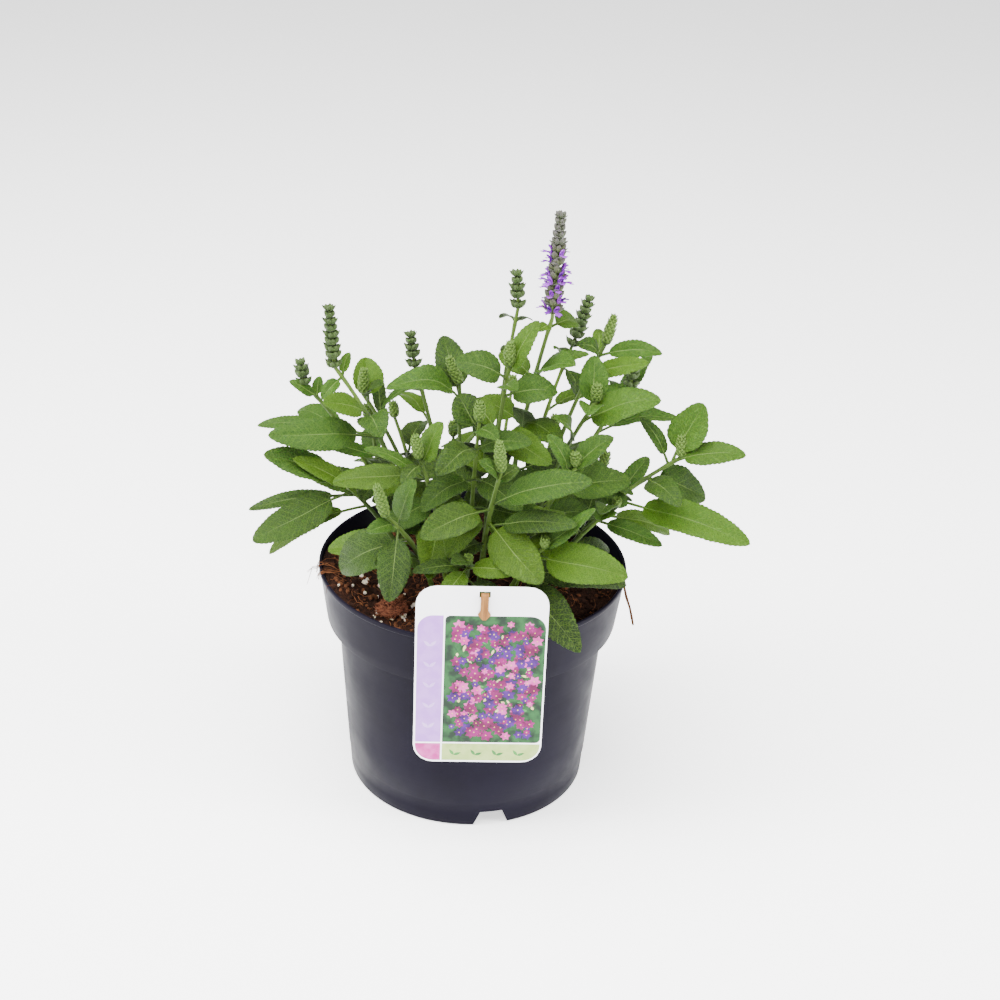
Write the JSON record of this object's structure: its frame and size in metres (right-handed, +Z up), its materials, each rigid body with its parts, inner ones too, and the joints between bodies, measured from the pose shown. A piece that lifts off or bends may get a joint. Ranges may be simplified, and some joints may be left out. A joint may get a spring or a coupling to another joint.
{
  "type": "potted perennial salvia",
  "caption": "Bushy flowering salvia with scalloped leaves, bud spikes and one violet bloom, in a round nursery pot with a plain plant tag.",
  "frame": {"origin": "centre of the bounding box's underside, on the plane that the pot stands on", "axes": "+Z up the plant; -Y towards the front, which carries the tag; +X to the right seen from the front"},
  "size_m": [0.2996, 0.2035, 0.367],
  "materials": {
    "coir": "loose reddish fibre",
    "flower_violet": "soft petals and hairy calyces",
    "pot_plastic": "satin moulded plastic",
    "leaf_green_arched": "matt hairy leaf",
    "leaf_green_back_1": "matt hairy leaf",
    "leaf_green_back_2": "matt hairy leaf",
    "leaf_green_back_3": "matt hairy leaf",
    "leaf_green_back_4": "matt hairy leaf",
    "leaf_green_back_5": "matt hairy leaf",
    "leaf_green_back_6": "matt hairy leaf",
    "leaf_green_bloom": "matt hairy leaf",
    "leaf_green_centre": "matt hairy leaf",
    "leaf_green_east": "matt hairy leaf",
    "leaf_green_east_back": "matt hairy leaf",
    "leaf_green_east_dark": "matt hairy leaf",
    "leaf_green_east_low": "matt hairy leaf",
    "leaf_green_east_mid": "matt hairy leaf",
    "leaf_green_mid_west": "matt hairy leaf",
    "leaf_green_middle": "matt hairy leaf",
    "leaf_green_north_east": "matt hairy leaf",
    "leaf_green_north_tall": "matt hairy leaf",
    "leaf_green_north_west": "matt hairy leaf",
    "leaf_green_south": "matt hairy leaf",
    "leaf_green_south_east": "matt hairy leaf",
    "leaf_green_south_east_low": "matt hairy leaf",
    "leaf_green_south_low": "matt hairy leaf",
    "leaf_green_south_west": "matt hairy leaf",
    "leaf_green_west_back": "matt hairy leaf",
    "leaf_green_west_bud": "matt hairy leaf",
    "leaf_green_west_low": "matt hairy leaf",
    "leaf_green_west_tall": "matt hairy leaf",
    "potting_soil": "dark damp peat and fibre",
    "tag_card": "printed plastic card",
    "tie_plastic": "tan plastic strip"
  },
  "bodies": {
    "root": {"coir_clump": "coir", "flower_spike": "flower_violet", "pot": "pot_plastic", "shoot_arched": "leaf_green_arched", "shoot_back_1": "leaf_green_back_1", "shoot_back_2": "leaf_green_back_2", "shoot_back_3": "leaf_green_back_3", "shoot_back_4": "leaf_green_back_4", "shoot_back_5": "leaf_green_back_5", "shoot_back_6": "leaf_green_back_6", "shoot_bloom": "leaf_green_bloom", "shoot_centre": "leaf_green_centre", "shoot_east": "leaf_green_east", "shoot_east_back": "leaf_green_east_back", "shoot_east_dark": "leaf_green_east_dark", "shoot_east_low": "leaf_green_east_low", "shoot_east_mid": "leaf_green_east_mid", "shoot_mid_west": "leaf_green_mid_west", "shoot_middle": "leaf_green_middle", "shoot_north_east": "leaf_green_north_east", "shoot_north_tall": "leaf_green_north_tall", "shoot_north_west": "leaf_green_north_west", "shoot_south": "leaf_green_south", "shoot_south_east": "leaf_green_south_east", "shoot_south_east_low": "leaf_green_south_east_low", "shoot_south_low": "leaf_green_south_low", "shoot_south_west": "leaf_green_south_west", "shoot_west_back": "leaf_green_west_back", "shoot_west_bud": "leaf_green_west_bud", "shoot_west_low": "leaf_green_west_low", "shoot_west_tall": "leaf_green_west_tall", "soil": "potting_soil", "tag": "tag_card", "tag_tie": "tie_plastic"}
  },
  "joints": []
}
